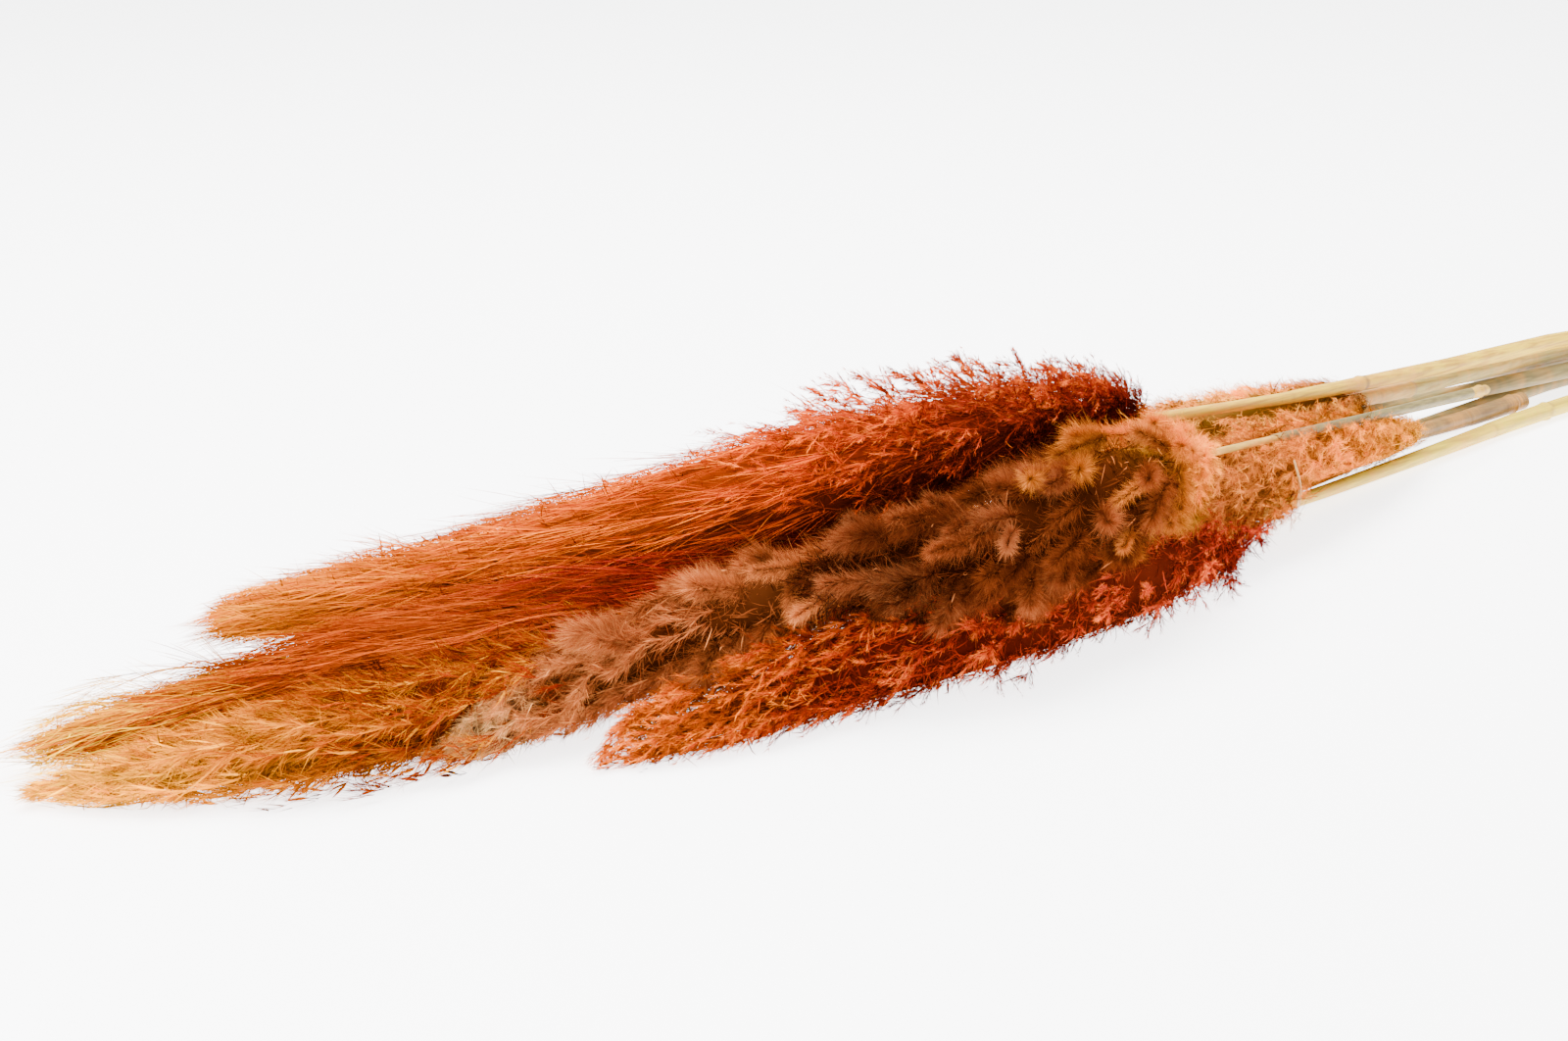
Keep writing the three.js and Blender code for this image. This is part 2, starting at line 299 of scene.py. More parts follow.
# ---------- building meshes ----------
def grid_faces(rings, sides):
    """Triangles between the rings of an open tube."""
    j, i = np.meshgrid(np.arange(rings - 1), np.arange(sides), indexing="ij")
    i2 = (i + 1) % sides
    quads = np.stack([j * sides + i, j * sides + i2, (j + 1) * sides + i2, (j + 1) * sides + i], -1)
    quads = quads.reshape(-1, 4)
    return np.vstack([quads[:, [0, 1, 2]], quads[:, [0, 2, 3]]])


def closed_faces(rings, sides):
    """Triangles of a tube with a fan at each end, whose two middle points come after the rings."""
    i = np.arange(sides)
    i2 = (i + 1) % sides
    end = (rings - 1) * sides
    first = np.stack([np.full(sides, rings * sides), i2, i], 1)
    last = np.stack([np.full(sides, rings * sides + 1), end + i, end + i2], 1)
    return np.vstack([grid_faces(rings, sides), first, last])


class Tuft:
    """Gathers ribbons and tubes of one piece, kept near the outline of its plume."""

    def __init__(self, spine, limit, bare):
        self.vertices = []
        self.faces = []
        self.uv = []
        self.count = 0
        self.spine = spine
        self.bare = bare
        self.limit = limit  # the furthest out that a hair ends, 1 being the plume's surface
        self.wisps = 8  # the longest wisp past the tip
        self.lowest = -2.5  # hairs that would end lower are left off

    def ribbons(self, rng, lines, width, root=-0.12, tip=0.12, keep=0.35, along_u=0.0):
        """A flat tapering blade on each line, its painted shade running from a darker root to a lighter
        tip.
        """
        past, out, _ = self.spine.locate(lines.points[:, -1])
        _, middle, _ = self.spine.locate(lines.points[:, lines.points.shape[1] // 2])
        slack = 0.15 * rng.normal(size=len(out))
        inside = np.maximum(out, middle) < self.limit + slack
        inside &= past < PAST_TIP + self.wisps * rng.random(len(out))
        inside &= lines.points[..., 2].max(1) < CEILING
        inside &= lines.points[:, -1, 2] > self.lowest
        inside &= np.abs(lines.points[..., 1]).max(1) < SIDE
        for stem in self.bare:
            inside &= ~stem.covered(lines.points[:, -1]) & ~stem.covered(lines.points[:, -2])
        p = lines.points[inside]
        n, k, _ = p.shape
        p[..., 2] = np.where(p[..., 2] < FLOOR_GAP, FLOOR_GAP + 0.02 * np.abs(p[..., 2]), p[..., 2])
        tangent = unit(np.gradient(p, axis=1))
        facing = unit(np.cross(tangent, rng.normal(size=(n, 1, 3))))
        x = np.linspace(0, 1, k)
        profile = np.where(x < 0.5, keep + (1 - keep) * np.sin(np.pi * x), 1 - (2 * x - 1) ** 1.5)
        half = 0.5 * width * np.exp(WIDTH_SPREAD * rng.normal(size=(n, 1, 1))) * profile[None, :, None]
        left = p - facing * half
        right = p[:, :-1] + facing[:, :-1] * half[:, :-1]
        verts = np.concatenate([left, right], axis=1).reshape(-1, 3)
        size = 2 * k - 1
        one = []
        for j in range(k - 2):
            one += [(j, j + 1, k + j + 1), (j, k + j + 1, k + j)]
        one.append((k - 2, k - 1, 2 * k - 2))
        one = np.array(one)
        faces = (one[None] + (np.arange(n) * size)[:, None, None]).reshape(-1, 3)
        v = lines.v[inside, None] + root + (tip - root) * x[None]
        u = lines.u[inside, None] + along_u * x[None]
        vv = np.concatenate([v, v[:, :-1]], axis=1).reshape(-1)
        uu = np.concatenate([u - 0.002, u[:, :-1] + 0.002], axis=1).reshape(-1)
        self.add(verts, faces, np.stack([uu, vv], 1))

    def tube(self, points, radius, sides, u, v):
        """A closed tube along one line."""
        k = len(points)
        along = unit(np.gradient(points, axis=0))
        side = unit(np.cross([0, 0, 1.0], along))
        up = np.cross(along, side)
        a = np.linspace(0, 2 * np.pi, sides, endpoint=False)
        r = np.asarray(radius).reshape(k, 1, -1)
        ring = points[:, None] + side[:, None] * (np.cos(a)[None, :, None] * r[..., :1])
        ring = ring + up[:, None] * (np.sin(a)[None, :, None] * r[..., -1:])
        verts = np.concatenate([ring.reshape(-1, 3), points[[0, -1]]])
        uu = np.concatenate([np.repeat(u, sides), [u[0], u[-1]]])
        # Spreads the shade value round each ring so that every face has some width on the map; this paints
        # the upper side slightly lighter than the lower, a faint painted light.
        wide = np.tile(np.sin(a) * 0.04, k)
        vv = np.concatenate([np.repeat(v, sides) + wide, [v[0], v[-1]]])
        self.add(verts, closed_faces(k, sides), np.stack([uu, vv], 1))

    def add(self, verts, faces, uv):
        """Adds to the piece's mesh."""
        self.vertices.append(verts)
        self.faces.append(faces + self.count)
        self.uv.append(uv)
        self.count += len(verts)

    def build(self, name, material):
        """Makes one object of all that was gathered."""
        verts = np.concatenate(self.vertices) * MM
        faces = np.concatenate(self.faces)
        uv = np.clip(np.concatenate(self.uv), 0.002, 0.998)
        return mesh_object(name, verts, faces, uv, material)


def mesh_object(name, verts, faces, uv, material, smooth=True):
    """An object of triangles, in metres, with its dye and shade as UV where it has them."""
    me = bpy.data.meshes.new(name)
    me.vertices.add(len(verts))
    me.vertices.foreach_set("co", verts.astype(np.float32).ravel())
    me.loops.add(faces.size)
    me.loops.foreach_set("vertex_index", faces.astype(np.int32).ravel())
    me.polygons.add(len(faces))
    me.polygons.foreach_set("loop_start", np.arange(0, faces.size, 3, dtype=np.int32))
    if uv is not None:
        layer = me.uv_layers.new(name="OFBake")
        layer.uv.foreach_set("vector", uv[faces.ravel()].astype(np.float32).ravel())
    me.update(calc_edges=True)
    me.polygons.foreach_set("use_smooth", np.full(len(faces), smooth))
    me.materials.append(material)
    ob = bpy.data.objects.new(name, me)
    bpy.context.scene.collection.objects.link(ob)
    return ob


# ---------- materials ----------
def node_material(name):
    """A new material with its nodes, its links and its surface shader."""
    m = bpy.data.materials.new(name)
    m.use_nodes = True
    nodes, links = m.node_tree.nodes, m.node_tree.links
    return m, nodes, links, nodes["Principled BSDF"]


def fluff_material(name, stops, dark, light, pale, paleness=0.3):
    """Fluff: its dye runs along the plume, and its painted shade from the dark inside to the pale hair
    tips, whose paleness is partly painted highlight.
    """
    m, nodes, links, bsdf = node_material(name)
    uv = nodes.new("ShaderNodeUVMap")
    uv.uv_map = "OFBake"
    split = nodes.new("ShaderNodeSeparateXYZ")
    links.new(uv.outputs["UV"], split.inputs[0])
    ramp = nodes.new("ShaderNodeValToRGB")
    while len(ramp.color_ramp.elements) < len(stops):
        ramp.color_ramp.elements.new(0.5)
    for element, (place, colour) in zip(ramp.color_ramp.elements, stops):
        element.position = place
        element.color = (*colour, 1)
    links.new(split.outputs["X"], ramp.inputs[0])
    # Painted shade: the shade value, which holds painted shade and random tone, scales the dye from dark to
    # light.
    shade = nodes.new("ShaderNodeMapRange")
    shade.inputs["To Min"].default_value = dark
    shade.inputs["To Max"].default_value = light
    links.new(split.outputs["Y"], shade.inputs["Value"])
    times = nodes.new("ShaderNodeVectorMath")
    times.operation = "SCALE"
    links.new(ramp.outputs["Color"], times.inputs[0])
    links.new(shade.outputs["Result"], times.inputs["Scale"])
    # Painted highlight: high shade values fade towards the pale colour, as lit hair tips look; the pale
    # husks, set high on that scale, get their real pale colour from it too.
    fade = nodes.new("ShaderNodeMapRange")
    fade.inputs["From Min"].default_value = 0.5
    fade.inputs["To Max"].default_value = paleness
    links.new(split.outputs["Y"], fade.inputs["Value"])
    mix = nodes.new("ShaderNodeMix")
    mix.data_type = "RGBA"
    links.new(fade.outputs["Result"], mix.inputs["Factor"])
    links.new(times.outputs["Vector"], mix.inputs["A"])
    mix.inputs["B"].default_value = (*pale, 1)
    links.new(mix.outputs["Result"], bsdf.inputs["Base Color"])
    bsdf.inputs["Roughness"].default_value = 0.75
    bsdf.inputs["Specular IOR Level"].default_value = 0.0
    return m


# ---------- plumes ----------
def number(n):
    return max(int(n * QUICK), 8)


def core(tuft, spine, share):
    """The matted middle of a plume: a tube painted nearly black as shade, which only shows as darkness
    between tufts.
    """
    s = CORE_PLACES
    size = spine.read(spine.size, s) * share
    size *= np.sin(np.linspace(0.2, np.pi - 0.2, len(s)))[:, None] ** 0.5
    line = spine.read(spine.line, s)
    line[:, 2] = np.maximum(line[:, 2], size[:, 1] + 1)
    tuft.tube(line, size, CORE_SIDES, s, np.full(len(s), CORE_SHADE))


def under_shade(lines, spine, amount, base=0.0, rise=0.3):
    """Darkens what lies deep or low in a plume, the most near its base, as its own shadow would."""
    _, out, height = spine.locate(lines.points[:, -1])
    near_base = np.exp(-(lines.u / LOW_PLACE) ** 2)
    level = SHADE_HEIGHT + (rise - SHADE_HEIGHT) * near_base
    low = np.clip(level - height, 0, DARKEST_DROP) * (1 + base * near_base)
    lines.v = lines.v - amount * np.clip(SHADE_OUT - out, 0, 1) - amount * low


def silky(tuft, rng, spine, count, start=(0.02, 0.8, 0.9), run=(50, 150), out1=(0.35, 1.0),
          length=30, deep=0.3, width=0.26, base=1.0, rise=0.3, locks=0.16):
    """Long silky hairs that hang together in strands."""
    strands = branches(rng, spine, number(count), 9, start, run, (0.0, 0.5), out1,
                       turn=0.25, wave=0.1, near=0.3, end=0.93, shade=locks)
    under_shade(strands, spine, deep, base, rise)
    tuft.ribbons(rng, strands, 0.45, root=-0.25, tip=0.0, along_u=0.1)
    hairs = grow(rng, strands, SILKY_HAIRS, length, 0.15, 3, spread=0.5, bend=0.2, curl=0.12,
                 droop=0.06, taper=0.3, shade=0.12, climb=0.12)
    tuft.ribbons(rng, hairs, width, root=-0.15, tip=0.18, along_u=0.05)


def tufted(tuft, rng, spine, count, start, run, out0, out1, twigs=(8, 12), hairs=(30, 4.2), turn=0.4,
           width=0.2, shade=0.15, lean=0.45, tilt=0.0, curl=0.1, deep=0.3, base=0.5, skew=0.0,
           rise=0.3, spray=0.45, sector=(0.0, FULL_TURN), climb=0.3, wave=0.06):
    """Branches with short twigs, each fringed with fine hairs like a feather's tip."""
    b = branches(rng, spine, number(count), 6, start, run, out0, out1, turn=turn, wave=wave,
                 tilt=tilt, shade=shade, skew=skew, sector=sector)
    under_shade(b, spine, deep, base, rise)
    b.u = np.clip(b.u + 0.04 * rng.normal(size=len(b.u)), 0, 1)
    tuft.ribbons(rng, b, 0.34, root=-0.3, tip=-0.05)
    t = grow(rng, b, twigs[0], twigs[1], lean, 3, first=0.2, spread=0.35, bend=0.4, curl=curl,
             droop=0.1, taper=0.35, shade=0.12, climb=climb)
    tuft.ribbons(rng, t, 0.22, root=-0.15, tip=0.15)
    h = grow(rng, t, hairs[0], hairs[1], spray, 1, first=0.05, spread=0.35, bend=0.4, curl=curl,
             droop=0.05, taper=0.4, shade=0.05, climb=climb)
    tuft.ribbons(rng, h, width, root=-0.2, tip=0.2, keep=1.0)


def lobes(tuft, rng, spine, count, start, length, fuzz, hair, root, lean, shade, droop=0.5,
          width=0.2, rise=0.3):
    """Fox-tail lobes: soft round fingers that hang outwards, with dense fuzz all round them."""
    steps = 10
    s0 = start[0] + (start[1] - start[0]) * rng.random(count)
    angle = 2 * np.pi * rng.random(count)
    base = spine.place(s0, angle, root[0] + (root[1] - root[0]) * rng.random(count))
    outward = unit(spine.place(s0, angle, np.ones(count)) - spine.read(spine.line, s0))
    along = spine.read(spine.along, s0)
    away = lean[0] + (lean[1] - lean[0]) * rng.random((count, 1))
    aim = unit(along + outward * away + rng.normal(size=(count, 3)) * 0.15)
    reach = (length[0] + (length[1] - length[0]) * rng.random((count, 1))) * (1 - 0.35 * s0[:, None])
    pull = along * 0.4 + np.array([0, 0, -droop]) + rng.normal(size=(count, 3)) * 0.5
    x = np.linspace(0, 1, steps + 1)[None, :, None]
    points = base[:, None] + reach[:, None] * (aim[:, None] * x + pull[:, None] * x**2 / 2)
    past, out, _ = spine.locate(points[:, -1])
    shrink = np.clip(0.9 / out, 0.3, 1) * np.where(past > 0, 0.5, 1)
    points = base[:, None] + (points - base[:, None]) * shrink[:, None, None]
    points[..., 2] = np.maximum(points[..., 2], hair * 0.7)
    u = np.clip(s0 + LOBE_HUE_SPREAD * rng.normal(size=count), 0.01, 0.99)
    b = Lines(points, u, 0.5 + shade * rng.normal(size=count))
    under_shade(b, spine, 0.25, 0.0, rise)
    # Painted shade: a thin tube of very low shade value along each lobe's middle, and fuzz much darker at
    # its roots, stand in for the shade inside a lobe.
    rings = steps + 1
    for line, dye in zip(b.points, b.u):
        tuft.tube(line, np.full((rings, 2), 0.8), 5, np.full(rings, dye), np.full(rings, 0.05))
    kinds = len(LOBE_HAIR_SHARES)
    for i, share in enumerate(LOBE_HAIR_SHARES):
        some = Lines(b.points[i::kinds], b.u[i::kinds], b.v[i::kinds])
        h = grow(rng, some, number(fuzz), hair * share, 0.8, 1, spread=0.35, bend=0.5, curl=0.35,
                 droop=0.05, taper=0.15, shade=0.11, climb=0.2)
        tuft.ribbons(rng, h, width, root=-0.5, tip=0.28, along_u=0.01, keep=1.0)


def spikelets(tuft, rng, spine, count, start, run, out1, length, width, pale, hairs, deep,
              shade=0.12, tilt=0.0, skew=0.0, toward=0.0):
    """Branches set with husks like a herringbone, with silky hairs between them."""
    per = 20
    b = branches(rng, spine, number(count), 8, start, run, (0.1, 0.6), out1, turn=0.4, wave=0.15,
                 near=0.1, tilt=tilt, shade=shade, skew=skew, toward=toward)
    under_shade(b, spine, deep)
    tuft.ribbons(rng, b, 0.5, root=-0.2, tip=0.0)
    husks = grow(rng, b, per, length, 0.42, 3, first=0.1, spread=0.25, bend=0.5, curl=0.12,
                 taper=0.3, shade=0.08)
    chosen = rng.random(len(husks.v)) < pale * np.repeat(b.v > 0.4, per)
    husks.v = np.where(chosen, 0.86 + 0.1 * rng.random(len(husks.v)), husks.v)
    tuft.ribbons(rng, husks, width, root=-0.02, tip=0.04, keep=0.15)
    h = grow(rng, husks, hairs[0], hairs[1], 0.4, 1, first=0.0, last=0.8, spread=0.4, bend=0.3,
             curl=0.3, taper=0.2, shade=0.1)
    h.v = np.where(h.v > 0.8, h.v - 0.3, h.v)
    tuft.ribbons(rng, h, 0.2, root=-0.2, tip=0.2, keep=1.0)


def straws(tuft, rng, spine, count, start, length, width):
    """Stray pale bits of husk that have caught in the fluff."""
    count = number(count)
    s = start[0] + (start[1] - start[0]) * rng.random(count)
    angle = 2 * np.pi * rng.random(count)
    base = spine.place(s, angle, STRAW_OUT[0] + (STRAW_OUT[1] - STRAW_OUT[0]) * rng.random(count))
    aim = unit(spine.read(spine.along, s) + 0.7 * rng.normal(size=(count, 3)))
    x = np.linspace(0, 1, 4)[None, :, None]
    reach = length * (0.5 + rng.random((count, 1, 1)))
    points = base[:, None] + aim[:, None] * reach * x + rng.normal(size=(count, 1, 3)) * x**2 * 1.2
    husks = Lines(points, s, 0.9 + 0.08 * rng.random(count))
    tuft.ribbons(rng, husks, width, root=0.0, tip=0.02, keep=0.2)


def start_plume(name, seed, share=0.55, limit=1.4, matted=5000, bare=()):
    """A plume's spine and its piece, with the matted middle and the short hairs on it, both painted dark as
    the shade deep in a plume.
    """
    rng = np.random.default_rng(seed)
    spine = Spine(STATIONS[name])
    tuft = Tuft(spine, limit, bare)
    core(tuft, spine, share)
    count = number(matted)
    s = 0.02 + 0.95 * rng.random(count)
    base = spine.place(s, 2 * np.pi * rng.random(count), share * rng.uniform(0.85, 1.05, count))
    aim = unit(spine.read(spine.along, s) + 0.9 * rng.normal(size=(count, 3)))
    x = np.linspace(0, 1, 4)[None, :, None]
    bend = rng.normal(size=(count, 1, 3))
    points = base[:, None] + aim[:, None] * x * rng.uniform(4, 9, (count, 1, 1)) + bend * x**2 * 2
    # Painted shade: the short hairs get a low shade value, dark like the shade round the core.
    mat = Lines(points, s, 0.12 + 0.07 * rng.normal(size=count))
    tuft.ribbons(rng, mat, 0.4, root=-0.05, tip=0.12)
    return rng, spine, tuft


def finish_plume(tuft, name, material, part=""):
    """Builds a plume's piece, hangs it on the root body and hides the CAD plume that it replaces."""
    piece = tuft.build(name + "_fluff" + part, material)
    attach(piece, "root")
    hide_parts(name + "_plume")


def make_rust():
    """Long silky strands, with short fringed branches round the base."""
    look = fluff_material("rust_fluff_look", [
        (0.0, (0.54, 0.035, 0.016)), (0.25, (0.62, 0.06, 0.018)), (0.45, (0.92, 0.085, 0.0)),
        (0.7, (0.86, 0.13, 0.0)), (0.85, (0.87, 0.175, 0.0)), (1.0, (0.98, 0.36, 0.0))],
        dark=0.05, light=1.36, pale=(0.96, 0.38, 0.0), paleness=0.38)
    rng, spine, tuft = start_plume("rust_long", 1, limit=1.4)
    tuft.wisps = 20
    tuft.limit = 1.6
    silky(tuft, rng, spine, 1030, start=(0.1, 0.82, 0.8), run=(50, 130), length=26, width=0.2,
          base=2.6, rise=1.05, deep=0.45, locks=0.16)
    tuft.limit = 2.2
    silky(tuft, rng, spine, 40, start=(0.76, 0.95, 1.0), run=(15, 40), out1=(0.8, 1.5), length=20,
          deep=0.0, width=0.2)
    finish_plume(tuft, "rust_long", look)
    rng, spine, tuft = start_plume("rust_long", 11, 0.8, 1.6, matted=8000, bare=OVER)
    tufted(tuft, rng, spine, 480, (0.0, 0.42, 1.2), (20, 44), (0.4, 0.85), (0.7, 1.05), twigs=(9, 12),
           hairs=(22, 3.2), turn=0.2, lean=0.5, deep=0.6, base=2.2, rise=0.86, width=0.25, curl=0.05)
    tuft.limit = 1.9
    tufted(tuft, rng, spine, 95, (0.0, 0.36, 1.0), (4, 16), (0.6, 0.85), (1.05, 1.45), twigs=(8, 8),
           hairs=(16, 2.6), turn=0.03, lean=0.35, deep=0.0, width=0.32, sector=(0.9, 2.8), curl=0.02,
           spray=0.5, wave=0.0)
    straws(tuft, rng, spine, 60, (0.02, 0.5), 6, 0.3)
    finish_plume(tuft, "rust_long", look, "_base")


def make_amber():
    """Long silky strands, dark along most of the plume as painted shade where it lies under the plumes
    above, and yellow at its tip.
    """
    # Painted shade: the dark stops up to 0.5 stand for the shade under the plumes above.
    look = fluff_material("amber_fluff_look", [
        (0.0, (0.05, 0.002, 0.002)), (0.3, (0.07, 0.003, 0.002)), (0.5, (0.26, 0.009, 0.005)),
        (0.66, (0.46, 0.075, 0.004)), (0.78, (0.26, 0.02, 0.0)), (0.86, (0.5, 0.08, 0.0)),
        (0.92, (0.98, 0.45, 0.0)), (1.0, (0.99, 0.7, 0.03))],
        dark=0.1, light=1.5, pale=(0.9, 0.3, 0.0), paleness=0.06)
    rng, spine, tuft = start_plume("amber_long", 2, limit=1.4)
    tuft.wisps = 26
    tuft.lowest = 6.0
    silky(tuft, rng, spine, 1030, run=(50, 140), length=28, width=0.22, locks=0.2)
    tuft.limit = 2.2
    tuft.lowest = -2.5
    silky(tuft, rng, spine, 60, start=(0.78, 0.95, 1.0), run=(20, 45), out1=(0.8, 1.9), length=24,
          deep=0.0, width=0.2)
    finish_plume(tuft, "amber_long", look)


def make_golden():
    """Fox-tail lobes in two layers, with a fringe at the neck."""
    look = fluff_material("golden_fluff_look", [
        (0.0, (0.98, 0.4, 0.02)), (0.16, (0.9, 0.27, 0.02)), (0.38, (0.32, 0.066, 0.013)),
        (0.7, (0.2, 0.038, 0.009)), (1.0, (0.1, 0.018, 0.005))], dark=0.03, light=1.65,
        pale=(0.55, 0.26, 0.09))
    rng, spine, tuft = start_plume("golden", 3, 0.7, 1.5, bare=OVER)
    lobes(tuft, rng, spine, 81, (0.02, 0.84), (14, 30), 1900, 5.4, root=(0.3, 0.85), lean=(0.3, 0.9),
          shade=0.18, width=0.2, rise=0.55)
    finish_plume(tuft, "golden", look)
    rng, spine, tuft = start_plume("golden", 33, 0.5, 1.5, bare=OVER)
    lobes(tuft, rng, spine, 75, (0.04, 0.86), (10, 24), 1700, 5.2, root=(0.6, 0.95), lean=(0.1, 0.6),
          shade=0.18, width=0.2, rise=0.55)
    tufted(tuft, rng, spine, 110, (0.0, 0.12, 1.0), (10, 20), (0.3, 0.7), (0.8, 1.0), twigs=(8, 8),
           hairs=(30, 4.0), curl=0.3, deep=0.0)
    straws(tuft, rng, spine, 110, (0.0, 0.9), 5, 0.28)
    finish_plume(tuft, "golden", look, "_outer")


def make_tan():
    """Fox-tail lobes that end in a spray of husks."""
    look = fluff_material("tan_fluff_look", [
        (0.0, (0.36, 0.085, 0.016)), (0.3, (0.5, 0.13, 0.03)), (0.6, (0.27, 0.05, 0.01)),
        (0.82, (0.46, 0.13, 0.03)), (1.0, (0.98, 0.58, 0.2))], dark=0.05, light=1.85,
        pale=(0.76, 0.42, 0.14), paleness=0.3)
    rng, spine, tuft = start_plume("tan_foxtail", 4, 0.6, 1.5)
    lobes(tuft, rng, spine, 54, (0.0, 0.66), (14, 28), 2500, 6.0, lean=(0.3, 0.9), droop=0.4,
          root=(0.2, 0.8), width=0.22, shade=0.16)
    finish_plume(tuft, "tan_foxtail", look)
    rng, spine, tuft = start_plume("tan_foxtail", 44, 0.4, 1.4)
    tuft.lowest = 1.5
    spikelets(tuft, rng, spine, 90, (0.4, 0.88, 1.0), (22, 45), (0.5, 1.0), 6, 0.5,
              pale=0.55, hairs=(16, 5), deep=0.08)
    straws(tuft, rng, spine, 50, (0.0, 0.9), 5, 0.3)
    finish_plume(tuft, "tan_foxtail", look, "_end")


def make_red():
    """Fringed branches all along, with longer tufts on the sides that show."""
    look = fluff_material("red_fluff_look", [
        (0.0, (0.54, 0.016, 0.014)), (0.35, (0.82, 0.09, 0.03)), (0.6, (0.6, 0.045, 0.012)),
        (0.8, (0.5, 0.032, 0.0)), (1.0, (0.94, 0.17, 0.0))], dark=0.04, light=1.4,
        pale=(0.9, 0.38, 0.03), paleness=0.45)
    rng, spine, tuft = start_plume("red_front", 5, 0.84, 1.6, matted=9000)
    tufted(tuft, rng, spine, 440, (0.0, 0.9, 0.9), (22, 50), (0.4, 0.85), (0.55, 0.95), twigs=(9, 10),
           hairs=(24, 3.0), turn=0.3, tilt=1.0, skew=0.6, width=0.25, curl=0.05, spray=0.45)
    tufted(tuft, rng, spine, 60, (0.5, 0.92, 1.0), (14, 30), (0.7, 0.9), (1.0, 1.4), twigs=(9, 9),
           hairs=(24, 3.0), turn=0.1, width=0.25, curl=0.05, sector=(1.5, 3.4), deep=0.1)
    tuft.limit = 1.9
    tufted(tuft, rng, spine, 30, (0.0, 0.6, 1.0), (6, 18), (0.7, 0.9), (1.15, 1.45), twigs=(9, 8),
           hairs=(24, 2.8), turn=0.05, width=0.25, curl=0.05, sector=(-0.6, 0.5), deep=0.3, wave=0.0,
           climb=0.15)
    straws(tuft, rng, spine, 50, (0.2, 0.95), 5, 0.28)
    finish_plume(tuft, "red_front", look)


def make_orange():
    """A herringbone of husks with silky hairs between them."""
    look = fluff_material("orange_fluff_look", [
        (0.0, (0.22, 0.009, 0.001)), (0.35, (0.28, 0.02, 0.001)), (0.6, (0.34, 0.04, 0.001)),
        (0.8, (0.88, 0.28, 0.0)), (1.0, (0.97, 0.48, 0.0))], dark=0.12, light=1.6,
        pale=(0.98, 0.54, 0.0), paleness=0.42)
    rng, spine, tuft = start_plume("orange_feather", 6, 0.78, 1.45, matted=9000)
    tuft.wisps = 14
    tuft.lowest = 1.5
    spikelets(tuft, rng, spine, 190, (0.0, 0.84, 0.9), (35, 75), (0.5, 1.1), 8.5, 0.75, pale=0.45,
              hairs=(15, 7), tilt=0.6, skew=0.5, toward=-0.1, shade=0.17, deep=0.12)
    finish_plume(tuft, "orange_feather", look)


def make_peach_front():
    """Short curly branches, brightest at the neck."""
    look = fluff_material("peach_front_look", [
        (0.0, (0.86, 0.36, 0.01)), (0.35, (0.9, 0.24, 0.01)), (0.6, (0.76, 0.2, 0.02)),
        (1.0, (0.62, 0.16, 0.045))], dark=0.08, light=1.5, pale=(0.9, 0.48, 0.06))
    rng, spine, tuft = start_plume("peach_front", 7, 0.6, 1.15, bare=OVER + UNDER)
    tufted(tuft, rng, spine, 440, (0.0, 0.85, 1.0), (16, 36), (0.4, 0.85), (0.75, 1.0), twigs=(8, 9),
           hairs=(38, 3.8), turn=0.5, width=0.15, curl=0.3, lean=0.6, shade=0.24, spray=0.6)
    straws(tuft, rng, spine, 130, (0.1, 0.95), 6, 0.3)
    finish_plume(tuft, "peach_front", look)


def make_peach_back():
    """Short curly branches, with more of them round the neck."""
    look = fluff_material("peach_back_look", [
        (0.0, (0.4, 0.12, 0.02)), (0.2, (0.72, 0.27, 0.04)), (0.4, (0.94, 0.42, 0.05)),
        (1.0, (0.74, 0.25, 0.04))], dark=0.06, light=2.3, pale=(0.9, 0.5, 0.12))
    rng, spine, tuft = start_plume("peach_back", 8, 0.8, 1.1, bare=OVER)
    tufted(tuft, rng, spine, 340, (0.0, 0.85, 1.0), (16, 36), (0.3, 0.85), (0.7, 0.95), twigs=(8, 9),
           hairs=(38, 3.8), turn=0.5, width=0.15, curl=0.3, lean=0.6, shade=0.24, spray=0.6)
    tufted(tuft, rng, spine, 70, (0.0, 0.1, 1.0), (8, 18), (0.2, 0.8), (0.8, 1.15), twigs=(8, 8),
           hairs=(34, 3.6), turn=0.4, width=0.16, curl=0.2, lean=0.6, shade=0.2, spray=0.6)
    straws(tuft, rng, spine, 60, (0.1, 0.95), 6, 0.3)
    finish_plume(tuft, "peach_back", look)


make_rust()
make_amber()
make_golden()
make_tan()
make_red()
make_orange()
make_peach_front()
make_peach_back()


# ---------- stems ----------
def smoothstep(x):
    """Rises smoothly from 0 to 1 as x does."""
    x = np.clip(x, 0, 1)
    return x * x * (3 - 2 * x)


def round_surface(line, radius, sides):
    """Points of a tube's rings, (k, sides, 3), with radius (k, sides)."""
    along = unit(np.gradient(line, axis=0))
    side = unit(np.cross([0, 0, 1.0], along))
    up = np.cross(along, side)
    a = np.linspace(0, 2 * np.pi, sides, endpoint=False)
    ring = side[:, None] * np.cos(a)[None, :, None] + up[:, None] * np.sin(a)[None, :, None]
    return line[:, None] + ring * radius[..., None]


def mark(ob, name, values):
    """Stores a value at each vertex for the straw material to read."""
    layer = ob.data.attributes.new(name, "FLOAT", "POINT")
    layer.data.foreach_set("value", values.astype(np.float32).ravel())


SCAR_AND_SHADE = (0.2, 0.09, 0.02)
PITH = (0.6, 0.42, 0.2)
SPECKLE = (0.16, 0.07, 0.02)
FIBRES = (9, 900, 900)  # noise scale along and across the stalk, per metre

